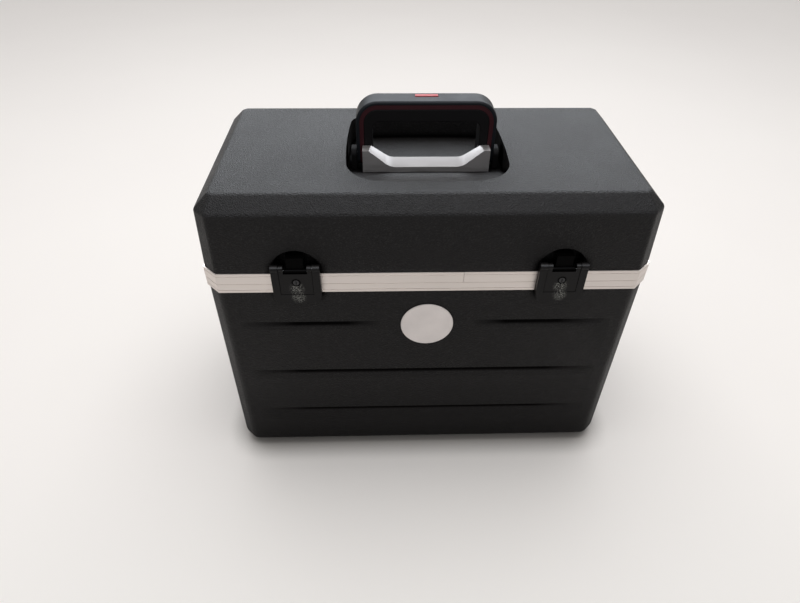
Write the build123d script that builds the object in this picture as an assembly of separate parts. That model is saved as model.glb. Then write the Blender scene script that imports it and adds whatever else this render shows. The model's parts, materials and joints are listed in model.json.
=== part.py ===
from build123d import *
from math import sqrt, radians, cos, sin, tan
import os

os.makedirs("parts", exist_ok=True)

# A rolling tool case. X is right, Y is back, Z is up, in millimetres, and the floor is Z = 0.
# Everything is drawn about the middle of the shell, then moved along Y so that the
# bounding box stands centred on the origin.

# Case body
case_width = 480.0
case_depth = 250.0
ground_gap = 5.0
base_height = 264.3
base_rail_height = 11.1
lid_rail_height = 13.5
lid_height = 84.6
corner_chamfer = 15.5
wall = 3.0
shell_step = 1.1
bottom_round = 14.0
base_corner_round = 13.0
lid_corner_round = 7.0
lid_draft = 2.5
lid_chamfer = 15.7

# Frame rails
rail_leg = 2.1
rail_tongue = 2.0
rail_inner_leg = 1.6
rail_web = 2.5
rail_apron = 4.0
rail_line = 3.4
line_cut = 0.6
seal_width = 2.0
seal_depth = 1.5
seal_gap = 0.1
seam_x = 36.4
seam_gap = 0.4
splice_length = 60.0
splice_thick = 1.5
splice_clear = 1.0
rail_rivet_radius = 1.6
rail_rivet_head = 3.0
rail_rivet_proud = 0.8
rivet_side_y = 70.0
rivet_back_x = 60.0

# Mould lines on the front and back: height of the sharp upper edge, length of the slope below
mould_lines = [(220.0, 12.0), (142.0, 16.5), (71.5, 24.5)]
mould_depth = 3.4
mould_fade = 28.0
mould_end_depth = 0.02
mould_end_from_side = 31.0
mould_badge_gap = 50.0
mould_trolley_gap = 100.0
mould_back_from_side = 60.0

# Badge
badge_radius = 29.75
badge_below_rail = 19.75
badge_proud = 1.5

# Feet and screws
foot_radius = 14.0
foot_from_side = 50.0
foot_inset = 34.0
foot_hole = 6.0
foot_counterbore = 3.0
screw_radius = 2.0
screw_head_radius = 4.0
screw_head = 2.0
foot_screw_reach = 3.0

# Wheels
wheel_radius = 35.0
wheel_width = 24.0
wheel_from_side = 34.0
wheel_behind = 18.5
tyre_thick = 7.0
hub_bore_gap = 0.05
hub_rim = 4.0
hub_dish = 5.0
hub_boss = 4.0
axle_radius = 4.0
axle_past_housing = 1.0
wheel_gap = 3.0
well_gap_side = 1.6
well_wall = 2.4
well_flange = 6.0

# Hinges
hinge_from_side = 105.0
hinge_width = 46.0
hinge_leaf = 1.5
hinge_leaf_height = 7.0
hinge_behind = 4.0
knuckle_radius = 3.5
knuckle_middle = 16.0
knuckle_gap = 0.4
pin_radius = 2.0
running_gap = 0.05
leaf_clear = 0.5

# Lid stays
stay_circle = 110.0
stay_lid_angle = 10.0
stay_base_angle = -40.0
lid_open_angle = 95.0
stay_from_wall = 3.9
stay_thick = 1.5
stay_width = 12.0
stay_pin_radius = 2.5
stay_head_radius = 4.2
stay_head = 1.5
stay_plate = 1.5
stay_plate_size = 18.0
stay_gap = 0.3
slot_end_gap = 0.3

# Latches
latch_from_side = 100.1
latch_width = 50.8
latch_foot_width = 46.8
latch_proud = 7.0
latch_drop = 10.2
latch_corner = 9.0
latch_lid_gap = 0.5
lever_width = 34.4
lever_side_gap = 0.3
lever_foot_rise = 2.2
lever_foot_gap = 0.3
lever_thick = 4.0
lever_inset = 0.4
bar_above_rail = 10.1
bar_back = 3.0
bar_radius = 2.0
bar_in_lever = 4.0
bar_end_gap = 0.3
bar_end_wall = 1.0
bar_barrel = 3.4
bar_knob = 4.0
hook_offset = 3.3
hook_behind_bar = 0.3
hook_eye = 2.0
hook_pin_radius = 1.2
hook_width = 24.0
hook_plate_width = 18.0
hook_thick = 1.5
hook_rise = 15.3
hook_reach = 9.7
claw_thick = 2.0
claw_drop = 3.0
claw_bite = 1.0
hook_side_gap = 0.4
cheek_width = 2.0
strike_thick = 1.5
strike_width = 16.0
strike_floor = 10.0
lip_setback = 2.5
pocket_width = 46.0
pocket_height = 28.0
pocket_depth = 13.0
pocket_wall = 2.5
pocket_shoulder = 15.0
lock_below_bar = 16.7
lock_radius = 4.6
lock_proud = 0.6
lock_plug_radius = 3.2
lock_plug_gap = 0.05
keyway_width = 1.0
keyway_length = 4.2
keyway_depth = 3.0
cam_thick = 1.0
cam_height = 3.0
latch_rivet_x = 10.0
latch_rivet_radius = 1.5
latch_rivet_head = 3.0
latch_rivet_room = 0.2
latch_rivet_proud = 1.2
latch_rivet_reach = 3.0

# Carry handle and its recess
recess_side_room = 5.1
recess_depth = 168.0
recess_bow = 5.0
recess_corner = 24.0
recess_front_corner = 42.0
recess_drop = 28.5
ramp_foot_rise = 5.6
handle_top = 51.0
handle_half_width = 77.0
handle_corner = 24.0
handle_front = -5.0
handle_depth = 26.0
cover_thick = 4.0
inlay_thick = 4.5
grip_thick_top = 13.8
grip_thick_side = 9.5
cover_edge = 2.5
grip_inner_corner = 9.0
pivot_below_lid = 12.5
leg_below_pivot = 9.8
leg_end_round = 8.0
handle_pin_radius = 3.0
insert_width = 25.0
insert_depth = 5.5
insert_proud = 0.8
insert_sink = 1.2
insert_back = 17.25
ear_gap = 0.4
ear_thick = 6.0
ear_above_pivot = 7.0
ear_inset = 3.0
pin_into_leg = 11.0
pin_end_gap = 0.5
saddle_front = -20.0
saddle_depth = 14.0
saddle_in_handle = 6.75
saddle_tip_above_lid = 2.2
saddle_tip = 6.75
saddle_flat = 40.0
saddle_flat_drop = 16.7
saddle_tilt = 5.1
saddle_tip_narrowing = 2.5
saddle_round = 18.0
backing_thick = 2.0
backing_margin = 6.0
handle_screw_x = 55.0
handle_screw_reach = 5.0

# Trolley handle on the back
tube_x = 70.0
tube_width = 27.0
tube_depth = 18.0
tube_wall = 1.2
tube_gap = 0.35
tube_from_wall = 0.6
trolley_low = 22.0
trolley_foot_height = 16.0
trolley_foot_floor = 4.0
trolley_foot_chamfer = 6.0
trolley_side = 20.0
collar_height = 18.0
collar_top = 230.0
stage_overlap = 30.0
trolley_travel = 174.0
bracket_over_tube = 0.5
grip_bottom = 246.0
grip_height = 16.0
grip_side = 16.0
grip_socket = 8.0
grip_round = 5.0
grip_clear = 0.7
button_width = 30.0
button_depth = 9.0
button_height = 7.0
button_proud = 2.5
button_gap = 0.3
button_travel = 2.0
button_round = 1.2
trolley_screw_x = 45.0
trolley_screw_reach = 10.0

# Places worked out from the sizes above
floor_low = ground_gap
rail_low = floor_low + base_height
parting = rail_low + base_rail_height
rail_high = parting + lid_rail_height
lid_top = rail_high + lid_height
half_w = case_width / 2
half_d = case_depth / 2
tongue_in = rail_leg + rail_tongue
inner_in = shell_step + wall
shell_face = half_d - shell_step
lid_slope = lid_draft / (lid_height - lid_chamfer)
latch_x = half_w - latch_from_side
hinge_x = half_w - hinge_from_side
foot_x = half_w - foot_from_side
wheel_x = half_w - wheel_from_side
mould_end = half_w - mould_end_from_side
mould_back_end = half_w - mould_back_from_side
saddle_half_width = handle_half_width - saddle_in_handle
recess_width = 2 * (handle_half_width + ear_gap + ear_thick + recess_side_room)
badge_z = rail_low - badge_below_rail - badge_radius


def at(x, y, z, shape):
    return Pos(x, y, z) * shape


def box(x0, x1, y0, y1, z0, z1):
    """A box given by its limits."""
    return at((x0 + x1) / 2, (y0 + y1) / 2, (z0 + z1) / 2, Box(abs(x1 - x0), abs(y1 - y0), abs(z1 - z0)))


def rod_x(radius, x0, x1, y, z):
    """A round rod along X."""
    return at((x0 + x1) / 2, y, z, Rot(0, 90, 0) * Cylinder(radius, abs(x1 - x0)))


def rod_y(radius, y0, y1, x, z):
    """A round rod along Y."""
    return at(x, (y0 + y1) / 2, z, Rot(90, 0, 0) * Cylinder(radius, abs(y1 - y0)))


def rod_z(radius, z0, z1, x, y):
    """A round rod along Z."""
    return at(x, y, (z0 + z1) / 2, Cylinder(radius, abs(z1 - z0)))


def outline(inset, z):
    """The case's plan with chamfered corners, drawn in by an inset, at a height."""
    cut = corner_chamfer - inset * (2 - sqrt(2))
    plan = Rectangle(case_width - 2 * inset, case_depth - 2 * inset)
    return Pos(0, 0, z) * chamfer(plan.vertices(), cut)


def prism(inset, z0, z1):
    return extrude(outline(inset, z0), amount=z1 - z0)


def ring(inset_out, inset_in, z0, z1):
    return prism(inset_out, z0, z1) - prism(inset_in, z0, z1)


def tapered(inset0, z0, inset1, z1):
    """A straight-sided loft between two insets."""
    return loft([outline(inset0, z0).face(), outline(inset1, z1).face()], ruled=True)


def side_profile(points, x0, x1):
    """A shape drawn as (y, z) points and pulled along X."""
    face = make_face(Polyline(*[(x0, y, z) for y, z in points], close=True))
    return extrude(face, amount=x1 - x0, dir=(1, 0, 0))


def both_sides(shape):
    """A shape and its mirror image left to right."""
    return Compound([shape, mirror(shape, Plane.YZ)])


def group(shapes):
    return Compound([solid for shape in shapes for solid in shape.solids()])


# Rolling gear places
wheel_y = half_d + wheel_behind - wheel_radius
wheel_z = wheel_radius
well_radius = wheel_radius + wheel_gap
well_half = wheel_width / 2 + well_gap_side
well_front = wheel_y - well_radius
well_top = wheel_z + well_radius
well_x0 = wheel_x - well_half - well_wall
well_x1 = wheel_x + well_half + well_wall


def mould_line(top, length, x0, x1, face_y):
    """A step that is sharp at the top and slopes back out below, and dies away at both ends."""
    inward = -1 if face_y > 0 else 1
    fade = min(mould_fade, (x1 - x0) / 3)
    sections = []
    for x, depth in ((x0, mould_end_depth), (x0 + fade, mould_depth), (x1 - fade, mould_depth),
                     (x1, mould_end_depth)):
        points = [(x, face_y - inward, top), (x, face_y + inward * depth, top), (x, face_y, top - length),
                  (x, face_y - inward, top - length)]
        sections.append(make_face(Polyline(*points, close=True)))
    return loft(sections, ruled=True)


def mould_pad(top, length, x0, x1, face_y):
    """The same step on the inside, which keeps the wall's thickness."""
    inward = -1 if face_y > 0 else 1
    inside = face_y + inward * wall
    points = [(inside, top + mould_depth), (inside + inward * mould_depth, top), (inside, top - length)]
    return side_profile(points, x0, x1)


def mould_spans():
    """Every mould line as its top, length, ends and face."""
    spans = []
    for number, (height, length) in enumerate(mould_lines):
        top = floor_low + height
        if number == 0:
            spans.append((top, length, -mould_end, -mould_badge_gap, -shell_face))
            spans.append((top, length, mould_badge_gap, mould_end, -shell_face))
        else:
            spans.append((top, length, -mould_end, mould_end, -shell_face))
        spans.append((top, length, -mould_back_end, -mould_trolley_gap, shell_face))
        spans.append((top, length, mould_trolley_gap, mould_back_end, shell_face))
    return spans


# Base shell
def make_base_shell():
    outer = prism(shell_step, floor_low, rail_low)
    outer = fillet(outer.edges().group_by(Axis.Z)[0], bottom_round)
    outer = fillet(outer.edges().filter_by(Axis.Z), base_corner_round)
    inner = prism(inner_in, floor_low + wall, rail_low)
    inner = fillet(inner.edges().group_by(Axis.Z)[0], bottom_round - wall)
    shell = outer - inner
    for span in mould_spans():
        shell = shell + mould_pad(*span)
    for span in mould_spans():
        shell = shell - mould_line(*span)
    shell = shell + ring(rail_leg, tongue_in, rail_low, parting - rail_web)
    shell = shell - rail_rivet_holes(rail_low + base_rail_height / 2)
    well = box(well_x0, well_x1, well_front - well_wall, half_d, 0, well_top + well_wall)
    shell = shell - well - mirror(well, Plane.YZ)
    foot_y = -half_d + foot_inset
    for side in (-1, 1):
        shell = shell - rod_z(screw_radius, 0, floor_low + 2 * wall, side * foot_x, foot_y)
        for rivet in (-1, 1):
            x = side * latch_x + rivet * latch_rivet_x
            shell = shell - rod_y(latch_rivet_radius, -half_d, -half_d + 2 * wall, x, latch_rivet_z)
    for x, z in trolley_screw_places():
        shell = shell - rod_y(screw_radius, half_d - 2 * wall, half_d, x, z)
    return shell


# Frame rails
def rail_ring(z0, z1, groove0, groove1, line_z):
    """A rail ring with a slot for the shell's edge and a fine line along its face."""
    rail = ring(0, tongue_in + rail_inner_leg, z0, z1) - ring(rail_leg, tongue_in, groove0, groove1)
    return rail - ring(-1, line_cut, line_z - line_cut / 2, line_z + line_cut / 2)


def make_base_frame():
    rail = rail_ring(rail_low, parting, rail_low, parting - rail_web, rail_low + rail_line)
    rail = rail + ring(tongue_in, tongue_in + rail_inner_leg, rail_low - rail_apron, rail_low)
    rail = rail - ring(-1, line_cut, parting - line_cut / 2, parting)
    return rail - rail_rivet_holes(rail_low + base_rail_height / 2)


def make_lid_frame():
    rail = rail_ring(parting, rail_high, parting + rail_web, rail_high, rail_high - rail_line)
    seal_in = (tongue_in + rail_inner_leg - seal_width) / 2
    rail = rail - ring(seal_in, seal_in + seal_width, parting, parting + seal_depth)
    rail = rail - ring(-1, line_cut, parting, parting + line_cut / 2)
    seam = box(seam_x, seam_x + seam_gap, -half_d - 1, -half_d + rail_leg, parting, rail_high)
    return rail - seam - rail_rivet_holes(parting + lid_rail_height / 2)


def make_seal():
    seal_in = (tongue_in + rail_inner_leg - seal_width) / 2
    return ring(seal_in, seal_in + seal_width, parting + seal_gap, parting + seal_depth)


def rivet_places():
    """Where rivets hold a rail: its face's middle, and the direction out of it."""
    places = [(side * half_w, y, side, 0) for side in (-1, 1) for y in (-rivet_side_y, rivet_side_y)]
    places += [(x, half_d, 0, 1) for x in (-rivet_back_x, rivet_back_x)]
    return places


def rail_rivet(x, y, out_x, out_y, z):
    """One rivet through a rail: a shank and a low outer head."""
    deep = tongue_in + rail_inner_leg
    if out_x:
        shank = rod_x(rail_rivet_radius, x - out_x * deep, x, y, z)
        return shank + rod_x(rail_rivet_head, x, x + out_x * rail_rivet_proud, y, z)
    shank = rod_y(rail_rivet_radius, y - deep, y, x, z)
    return shank + rod_y(rail_rivet_head, y, y + rail_rivet_proud, x, z)


def rail_rivets(z):
    return group([rail_rivet(*place, z) for place in rivet_places()])


def rail_rivet_holes(z):
    return Compound([rail_rivet(*place, z) for place in rivet_places()])


def make_splice(z0, z1):
    """A strip behind a rail's butt seam, on the rail's inner leg."""
    y0 = -half_d + tongue_in + rail_inner_leg
    return box(seam_x - splice_length / 2, seam_x + splice_length / 2, y0, y0 + splice_thick, z0, z1)


# Lid shell
def bowed_plan(width, depth, bow, corner, front_corner):
    """A rectangle with bowed sides, and rounder corners in front than behind."""
    x, y = width / 2, depth / 2
    sides = [ThreePointArc((x - bow, -y + bow / 2), (x, 0), (x - bow, y - bow / 2)),
             ThreePointArc((x - bow, y - bow / 2), (0, y), (-x + bow, y - bow / 2)),
             ThreePointArc((-x + bow, y - bow / 2), (-x, 0), (-x + bow, -y + bow / 2)),
             ThreePointArc((-x + bow, -y + bow / 2), (0, -y), (x - bow, -y + bow / 2))]
    face = fillet(make_face(sides).vertices().group_by(Axis.Y)[0], front_corner)
    return fillet(face.vertices().group_by(Axis.Y)[-1], corner)


recess_floor = lid_top - recess_drop


def recess_cut():
    plan = Pos(0, 0, recess_floor) * bowed_plan(recess_width, recess_depth, recess_bow, recess_corner,
                                                     recess_front_corner)
    return extrude(plan, amount=recess_drop + 1)


def recess_pan():
    plan = bowed_plan(recess_width + 2 * wall, recess_depth + 2 * wall, recess_bow, recess_corner + wall,
                      recess_front_corner + wall)
    return extrude(Pos(0, 0, recess_floor - wall) * plan, amount=recess_drop)


def ramp():
    """The slope that runs down from the recess's front edge to the saddle's foot."""
    foot = recess_floor + ramp_foot_rise
    front = -recess_depth / 2
    points = [(front - wall, lid_top), (front, lid_top), (saddle_front - ear_gap, foot),
              (saddle_front - ear_gap, recess_floor - wall), (front - wall, recess_floor - wall)]
    return side_profile(points, -recess_width / 2, recess_width / 2)


def pocket_plan(grow):
    """The arched front of a latch pocket."""
    x = pocket_width / 2 + grow
    top = rail_high + pocket_height + grow
    low = rail_high + (pocket_wall if grow == 0 else 0)
    shoulder = rail_high + pocket_shoulder
    arch = [Line((-x, 0, low), (x, 0, low)), Line((x, 0, low), (x, 0, shoulder)),
            ThreePointArc((x, 0, shoulder), (0, 0, top), (-x, 0, shoulder)),
            Line((-x, 0, shoulder), (-x, 0, low))]
    return make_face(arch)


def pocket_block(side, grow, y0, y1):
    return extrude(Pos(side * latch_x, y0, 0) * pocket_plan(grow), amount=y1 - y0, dir=(0, 1, 0))


def make_lid_shell():
    foot_z = lid_top - lid_chamfer
    top_in = shell_step + lid_draft
    outer = tapered(shell_step, rail_high, top_in, foot_z)
    outer = outer + tapered(top_in, foot_z, top_in + lid_chamfer, lid_top)
    outer = fillet(outer.edges().filter_by(lambda edge: edge.center().Z > rail_high + 1), lid_corner_round)
    inner = tapered(inner_in, rail_high, top_in + wall, foot_z)
    inner_top = lid_top - wall
    inner = inner + tapered(top_in + wall, foot_z, top_in + lid_chamfer + wall * tan(radians(22.5)), inner_top)
    pan = recess_pan()
    pockets = [pocket_block(side, pocket_wall, -half_d + inner_in, -half_d + pocket_depth + pocket_wall)
               for side in (-1, 1)]
    inner = inner - pan
    for pocket in pockets:
        inner = inner - pocket
    shell = outer - inner - (recess_cut() - ramp())
    for side in (-1, 1):
        shell = shell - pocket_block(side, 0, -half_d - 1, -half_d + pocket_depth)
    shell = shell + ring(rail_leg, tongue_in, parting + rail_web, rail_high)
    shell = shell - rail_rivet_holes(parting + lid_rail_height / 2)
    for x, y in handle_screw_places():
        shell = shell - rod_z(screw_radius, recess_floor - 2 * wall, recess_floor + 1, x, y)
    return shell


# Badge, feet
def make_badge():
    return fillet_rim(rod_y(badge_radius, -shell_face - badge_proud, -shell_face, 0, badge_z))


def fillet_rim(disc):
    return chamfer(disc.edges().group_by(Axis.Y)[0], badge_proud / 3)


def make_feet():
    y = -half_d + foot_inset
    foot = rod_z(foot_radius, 0, floor_low, foot_x, y)
    foot = foot - rod_z(screw_radius, 0, floor_low, foot_x, y)
    foot = foot - rod_z(foot_hole, 0, foot_counterbore, foot_x, y)
    return both_sides(foot)


def make_foot_screws():
    y = -half_d + foot_inset
    screw = rod_z(screw_radius, foot_counterbore, floor_low + wall + foot_screw_reach, foot_x, y)
    screw = screw + rod_z(screw_head_radius, foot_counterbore - screw_head, foot_counterbore, foot_x, y)
    return both_sides(screw)


# Wheels
def make_wheel_housing():
    """A liner for the right wheel's well, open at the back and below."""
    rear = shell_face
    block = box(well_x0, well_x1, well_front - well_wall, rear, floor_low, well_top + well_wall)
    space = box(wheel_x - well_half, wheel_x + well_half, wheel_y, rear, 0, well_top)
    space = space + box(wheel_x - well_half, wheel_x + well_half, well_front, rear, 0, wheel_z)
    space = space + rod_x(well_radius, wheel_x - well_half, wheel_x + well_half, wheel_y, wheel_z)
    return block - space - rod_x(axle_radius, well_x0, well_x1, wheel_y, wheel_z)


def make_axle():
    return rod_x(axle_radius, well_x0 - axle_past_housing, well_x1 + axle_past_housing, wheel_y, wheel_z)


def make_hub():
    rim = wheel_radius - tyre_thick
    half = wheel_width / 2
    hub = rod_x(rim, wheel_x - half, wheel_x + half, wheel_y, wheel_z)
    dish = rod_x(rim - hub_rim, wheel_x + half - hub_dish, wheel_x + half, wheel_y, wheel_z)
    dish = dish - rod_x(axle_radius + hub_boss, wheel_x + half - hub_dish, wheel_x + half, wheel_y, wheel_z)
    hub = hub - dish - mirror(dish, Plane.YZ.offset(wheel_x))
    return hub - rod_x(axle_radius + hub_bore_gap, wheel_x - half, wheel_x + half, wheel_y, wheel_z)


def make_tyre():
    half = wheel_width / 2
    tyre = rod_x(wheel_radius, wheel_x - half, wheel_x + half, wheel_y, wheel_z)
    tyre = fillet(tyre.edges().filter_by(GeomType.CIRCLE), tyre_thick / 2)
    return tyre - rod_x(wheel_radius - tyre_thick, wheel_x - half, wheel_x + half, wheel_y, wheel_z)


# Hinges
hinge_y = half_d + hinge_behind
leaf_start = knuckle_radius + knuckle_gap


def knuckle(x0, x1, up):
    """A hinge knuckle with the web that joins it to its leaf."""
    web_z = (parting + up * leaf_clear, parting + up * (leaf_start + hinge_leaf))
    web = box(x0, x1, half_d, hinge_y - leaf_clear, min(web_z), max(web_z))
    return rod_x(knuckle_radius, x0, x1, hinge_y, parting) + web


def make_leaf(x, up):
    """One hinge leaf: the base's has the outer knuckles, the lid's the middle one."""
    z = (parting + up * leaf_start, parting + up * (leaf_start + hinge_leaf_height))
    leaf = box(x - hinge_width / 2, x + hinge_width / 2, half_d, half_d + hinge_leaf, min(z), max(z))
    middle = knuckle_middle / 2
    if up > 0:
        leaf = leaf + knuckle(x - middle, x + middle, up)
    else:
        leaf = leaf + knuckle(x - hinge_width / 2, x - middle - knuckle_gap, up)
        leaf = leaf + knuckle(x + middle + knuckle_gap, x + hinge_width / 2, up)
    return leaf - rod_x(pin_radius + running_gap, x - hinge_width, x + hinge_width, hinge_y, parting)


def make_leaves(up):
    return group([make_leaf(-hinge_x, up), make_leaf(hinge_x, up)])


def make_hinge_pins():
    return both_sides(rod_x(pin_radius, hinge_x - hinge_width / 2, hinge_x + hinge_width / 2, hinge_y, parting))


# Lid stays
def on_stay_circle(angle):
    """A point on the circle about the hinge axis, by its angle above straight forward."""
    return (hinge_y - stay_circle * cos(radians(angle)), parting + stay_circle * sin(radians(angle)))


stay_closed = 2 * stay_circle * sin(radians((stay_lid_angle - stay_base_angle) / 2))
stay_opened = 2 * stay_circle * sin(radians((stay_lid_angle - stay_base_angle + lid_open_angle) / 2))
stay_out = half_w - inner_in - stay_from_wall
stay_in = stay_out - stay_thick


def stay_fitting(angle, wall_x):
    """A plate on the wall with a headed stud that carries the stay."""
    y, z = on_stay_circle(angle)
    half = stay_plate_size / 2
    plate = box(wall_x - stay_plate, wall_x, y - half, y + half, z - half, z + half)
    stud = rod_x(stay_pin_radius, stay_in - stay_gap, wall_x - stay_plate, y, z)
    head = rod_x(stay_head_radius, stay_in - stay_gap - stay_head, stay_in - stay_gap, y, z)
    return plate + stud + head


def make_base_studs():
    return both_sides(stay_fitting(stay_base_angle, half_w - inner_in))


def make_lid_studs():
    y, z = on_stay_circle(stay_lid_angle)
    top = z + stay_plate_size / 2
    drawn_in = max(0, top - rail_high) * lid_slope
    return both_sides(stay_fitting(stay_lid_angle, half_w - inner_in - rail_inner_leg - drawn_in))


def make_stay():
    """The right stay: an eye on the lid's stud and a long slot on the base's."""
    y0, z0 = on_stay_circle(stay_lid_angle)
    y1, z1 = on_stay_circle(stay_base_angle)
    fit = stay_pin_radius + stay_gap
    length = stay_opened + slot_end_gap
    slot_near = stay_closed - slot_end_gap
    bar = Pos(length / 2, 0, 0) * SlotCenterToCenter(length, stay_width)
    slot = Pos((slot_near + length) / 2, 0, 0) * SlotCenterToCenter(length - slot_near, 2 * fit)
    plan = bar - slot - Circle(stay_pin_radius + running_gap)
    along = Vector(0, y1 - y0, z1 - z0).normalized()
    plane = Plane(origin=(stay_in, y0, z0), x_dir=along, z_dir=(1, 0, 0))
    return extrude(plane * plan, amount=stay_thick)


# Latches, drawn for a latch whose middle is X = 0
latch_front = -half_d - latch_proud
bar_y = latch_front + bar_back
bar_z = rail_high + bar_above_rail
latch_low = rail_low - latch_drop
lever_low = rail_low + lever_foot_rise
latch_rivet_z = rail_low - rail_apron - latch_rivet_head - latch_rivet_room
lever_front = latch_front + lever_inset
lever_back = lever_front + lever_thick
hook_y = bar_y + hook_behind_bar
hook_z = bar_z - hook_offset
lock_z = bar_z - lock_below_bar
lip_back = -half_d + lip_setback


def make_latch_housing():
    half, foot = latch_width / 2, latch_foot_width / 2
    opening = lever_width / 2 + lever_side_gap
    plan = make_face(Polyline((-foot, 0, latch_low), (foot, 0, latch_low), (half, 0, rail_low),
                              (half, 0, bar_z), (-half, 0, bar_z), (-half, 0, rail_low), close=True))
    body = extrude(Pos(0, latch_front, 0) * plan, amount=-latch_front - shell_face, dir=(0, 1, 0))
    low_corners = body.edges().filter_by(Axis.Y).group_by(Axis.Z)[0]
    body = fillet(low_corners, latch_corner)
    body = body - box(-opening, opening, latch_front - 1, 0, lever_low - lever_foot_gap, bar_z + 1)
    body = body - box(-half, half, -half_d, 0, rail_low, bar_z + 1)
    body = body - box(-half, half, -half_d - latch_lid_gap, 0, parting, bar_z + 1)
    for side in (-1, 1):
        knob = rod_x(bar_knob, side * opening, side * half, bar_y, bar_z)
        knob = knob - box(-half, half, -half_d - latch_lid_gap, 0, 0, bar_z + bar_knob + 1)
        body = body + knob
        body = body - rod_x(bar_radius, side * opening, side * (half - bar_end_wall), bar_y, bar_z)
        body = body - rod_y(latch_rivet_radius, -half_d - latch_rivet_reach, -shell_face, side * latch_rivet_x,
                             latch_rivet_z)
    return body


def make_latch_bars():
    """The stub pins that carry a lever in its housing."""
    opening = lever_width / 2 + lever_side_gap
    end = latch_width / 2 - bar_end_wall
    return both_sides(rod_x(bar_radius, opening - bar_in_lever, end, bar_y, bar_z))


def make_latch_rivets():
    inside = -half_d + inner_in
    shank = rod_y(latch_rivet_radius, -half_d - latch_rivet_reach, inside, latch_rivet_x, latch_rivet_z)
    head = rod_y(latch_rivet_head, inside, inside + latch_rivet_proud, latch_rivet_x, latch_rivet_z)
    return both_sides(shank + head)


def make_lever():
    half = lever_width / 2
    plate = box(-half, half, lever_front, lever_back, lever_low, bar_z)
    barrel = rod_x(bar_barrel, -half, half, bar_y, bar_z)
    lever = plate + barrel
    window = hook_width / 2 + hook_side_gap
    low = hook_z - hook_eye - hook_side_gap
    space = box(-window, window, latch_front - bar_knob, 0, low, bar_z + bar_barrel)
    lever = lever - space
    opening = half + lever_side_gap
    for side in (-1, 1):
        hole_in = opening - bar_in_lever - bar_end_gap
        lever = lever - rod_x(bar_radius + running_gap, side * hole_in, side * (half + 1), bar_y, bar_z)
    lever = lever - rod_x(hook_pin_radius, -window - cheek_width, window + cheek_width, hook_y, hook_z)
    return lever - rod_y(lock_radius, lever_front - 1, lever_back + 1, 0, lock_z)


def make_hook():
    wide, half = hook_width / 2, hook_plate_width / 2
    eye = rod_x(hook_eye, -wide, wide, hook_y, hook_z)
    back = hook_y + hook_eye
    top = hook_z + hook_rise
    plate = box(-half, half, back - hook_thick, back, hook_z, top)
    reach = box(-half, half, back - hook_thick, back + hook_reach, top - claw_thick, top)
    tip = back + hook_reach
    claw = box(-half, half, tip - claw_thick, tip, top - claw_thick - claw_drop, top)
    return eye + plate + reach + claw - rod_x(hook_pin_radius + running_gap, -wide, wide, hook_y, hook_z)


def make_hook_pin():
    reach = hook_width / 2 + hook_side_gap + cheek_width
    return rod_x(hook_pin_radius, -reach, reach, hook_y, hook_z)


def make_lock_barrel():
    barrel = rod_y(lock_radius, lever_front - lock_proud + lever_inset, lever_back, 0, lock_z)
    return barrel - rod_y(lock_plug_radius + lock_plug_gap, lever_front - 2, lever_back + 1, 0, lock_z)


def make_lock_plug():
    front = lever_front - lock_proud + lever_inset
    plug = rod_y(lock_plug_radius, front, lever_back, 0, lock_z)
    half = cam_height / 2
    back = lever_back + cam_thick
    cam = box(-lock_plug_radius, lock_plug_radius, lever_back, back, lock_z - half, lock_z + half)
    half = keyway_length / 2
    slot = box(-keyway_width / 2, keyway_width / 2, front, front + keyway_depth, lock_z - half, lock_z + half)
    return plug + cam - slot


def make_strike():
    """A plate in the lid's pocket whose lip the claw hooks over."""
    half = strike_width / 2
    floor = rail_high + pocket_wall
    lip_top = hook_z + hook_rise - claw_thick - claw_drop + claw_bite
    plate = box(-half, half, lip_back - strike_thick, lip_back + strike_floor, floor, floor + strike_thick)
    lip = box(-half, half, lip_back - strike_thick, lip_back, floor, lip_top)
    return plate + lip


def on_latches(make):
    return group([Pos(side * latch_x, 0, 0) * make() for side in (-1, 1)])


def on_latch(make, side):
    return Pos(side * latch_x, 0, 0) * make()


# Carry handle
handle_y = handle_front + handle_depth / 2
pivot_z = lid_top - pivot_below_lid
leg_low = pivot_z - leg_below_pivot


def arch(half, top, corner, low):
    """An upright arched plate the handle's full depth, with rounded top corners."""
    plan = make_face(Polyline((-half, 0, low), (half, 0, low), (half, 0, top), (-half, 0, top), close=True))
    block = extrude(Pos(0, handle_front, 0) * plan, amount=handle_depth, dir=(0, 1, 0))
    return fillet(block.edges().filter_by(Axis.Y).group_by(Axis.Z)[-1], corner)


def leg_ends(shape):
    """Rounds the legs' lower ends by keeping only what lies in a rounded side view."""
    high = lid_top + handle_top + 1
    y0, y1 = handle_front, handle_front + handle_depth
    plan = make_face(Polyline((0, y0, leg_low), (0, y1, leg_low), (0, y1, high), (0, y0, high), close=True))
    side = extrude(Pos(-handle_half_width, 0, 0) * plan, amount=2 * handle_half_width, dir=(1, 0, 0))
    side = fillet(side.edges().filter_by(Axis.X).group_by(Axis.Z)[0], leg_end_round)
    return shape & side


def handle_layers():
    """The arch outlines from the outside in."""
    top = lid_top + handle_top
    half = handle_half_width
    outer = (half, top, handle_corner)
    inlay = (half - cover_thick, top - cover_thick, handle_corner - cover_thick)
    second = cover_thick + inlay_thick
    core = (half - second, top - second, handle_corner - second)
    hole = (half - second - grip_thick_side, top - second - grip_thick_top, grip_inner_corner)
    return [arch(*size, leg_low) for size in (outer, inlay, core, hole)]


def pin_holes(x0, x1, radius):
    return both_sides(rod_x(radius, x0, x1, handle_y, pivot_z))


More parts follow.
